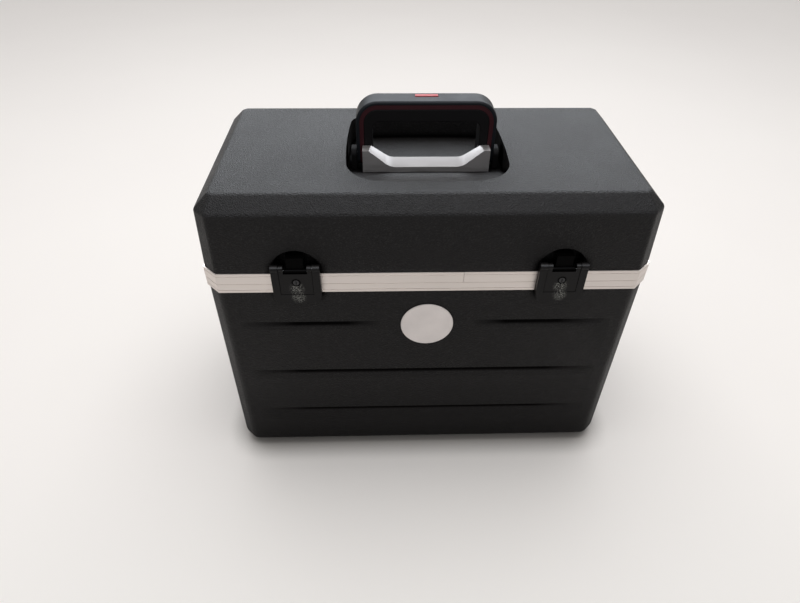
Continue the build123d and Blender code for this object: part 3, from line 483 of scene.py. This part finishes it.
table = flat_sheet("table", size=9.0)
near_edge, far_edge = -0.75, -0.1
near_shade_tone, under_case_shadow_tone = (0.84, 0.835, 0.815), (0.30, 0.285, 0.27)
under_case_shadow_width = 35 * MM
table_paint, nodes, links, shader = new_material("table_paint", 0.8, specular=0.2)
slow = noise(nodes, links, 2.0, 2.0)
paper = blend_colours(nodes, links, slow.outputs["Fac"], (0.895, 0.865, 0.845), (0.935, 0.91, 0.885))
coordinates = nodes.new("ShaderNodeTexCoord")
split = nodes.new("ShaderNodeSeparateXYZ")
links.new(coordinates.outputs["Object"], split.inputs["Vector"])
# Painted shade: the paper darkens towards the camera.
nearness = spread(nodes, links, split.outputs["Y"], near_edge, far_edge, 1.0, 0.0)
paper = blend_colours(nodes, links, nearness, paper, near_shade_tone)
# Painted contact shadow: the paper darkens where the case stands close over it.
shaded = nodes.new("ShaderNodeAmbientOcclusion")
shaded.inputs["Distance"].default_value = under_case_shadow_width
contact_shadow = spread(nodes, links, shaded.outputs["AO"], 0.45, 0.95, 1.0, 0.0)
table_colour = blend_colours(nodes, links, contact_shadow, paper, under_case_shadow_tone)
links.new(table_colour, shader.inputs["Base Color"])
table.data.materials.append(table_paint)


def reflector(name, place, target, width, height, brightness, colour=(1, 1, 1)):
    """A glowing card that shows in reflections only."""
    mesh = bmesh.new()
    bmesh.ops.create_grid(mesh, x_segments=1, y_segments=1, size=0.5)
    bmesh.ops.scale(mesh, verts=mesh.verts, vec=(width, height, 1))
    turn = (Vector(target) - Vector(place)).to_track_quat("Z", "Y").to_matrix()
    bmesh.ops.transform(mesh, matrix=Matrix.Translation(place) @ turn.to_4x4(), verts=mesh.verts)
    glow = bpy.data.materials.new(name)
    glow.use_nodes = True
    nodes = glow.node_tree.nodes
    emission = nodes.new("ShaderNodeEmission")
    emission.inputs["Color"].default_value = (*colour, 1)
    emission.inputs["Strength"].default_value = brightness
    glow.node_tree.links.new(emission.outputs["Emission"], nodes["Material Output"].inputs["Surface"])
    card = stage_grid(name, mesh)
    card.data.materials.append(glow)
    card.visible_camera = False
    card.visible_diffuse = False
    card.visible_shadow = False


def soft_light(name, place, target, width, height, radiance, colour=(1, 1, 1)):
    """A rectangular light of a given brightness, turned to face a point."""
    light = bpy.data.lights.new(name, "AREA")
    light.shape = "RECTANGLE"
    light.size = width
    light.size_y = height
    light.energy = radiance * math.pi * width * height
    light.color = colour
    lamp = bpy.data.objects.new(name, light)
    lamp.location = place
    lamp.rotation_euler = (Vector(target) - Vector(place)).to_track_quat("-Z", "Y").to_euler()
    bpy.context.scene.collection.objects.link(lamp)


soft_light("ceiling", (0, 0.35, 2.1), (0, 0.1, 0), width=2.0, height=1.7,
           radiance=2.2, colour=(1.0, 0.99, 0.98))
reflector("back_card", (0.1, 1.5, 1.9), (0, 0, 0.37), width=3.2, height=2.0,
          brightness=8.2, colour=(0.90, 0.945, 1.0))
reflector("front_card", (0.0, -1.6, 2.2), (0, -0.13, 0.36), width=3.0, height=1.6,
          brightness=7.0, colour=(0.92, 0.945, 1.0))
world = bpy.data.worlds.new("room")
bpy.context.scene.world = world
world.use_nodes = True
background = world.node_tree.nodes["Background"]
background.inputs["Color"].default_value = (1.0, 0.985, 0.975, 1)
background.inputs["Strength"].default_value = 0.62
print("table, lamp and two cards")

# %% [markdown]
# The camera was worked out once from the case's own edges in the picture: where the band's
# corners and the bottom edge fall fixes the place, the aim and the lens together.

# %% Camera
camera_place = Vector((-0.04847, -0.61498, 0.66718))
pitch, yaw, roll = (math.radians(a) for a in (40.388, 2.075, -0.722))
aim = Vector((math.sin(yaw) * math.cos(pitch), math.cos(yaw) * math.cos(pitch), -math.sin(pitch)))
level = Vector((math.cos(yaw), -math.sin(yaw), 0))
down = aim.cross(level)
right = math.cos(roll) * level + math.sin(roll) * down
below = aim.cross(right)
camera_data = bpy.data.cameras.new("camera")
camera_data.sensor_width = 36
camera_data.lens = 26.19
camera_data.clip_start = 0.02
camera = bpy.data.objects.new("camera", camera_data)
turn = Matrix((right, -below, -aim)).transposed()
camera.matrix_world = Matrix.Translation(camera_place) @ turn.to_4x4()
bpy.context.scene.collection.objects.link(camera)
bpy.context.scene.camera = camera
bpy.context.scene.view_settings.view_transform = "Standard"
print("camera at", camera_place)
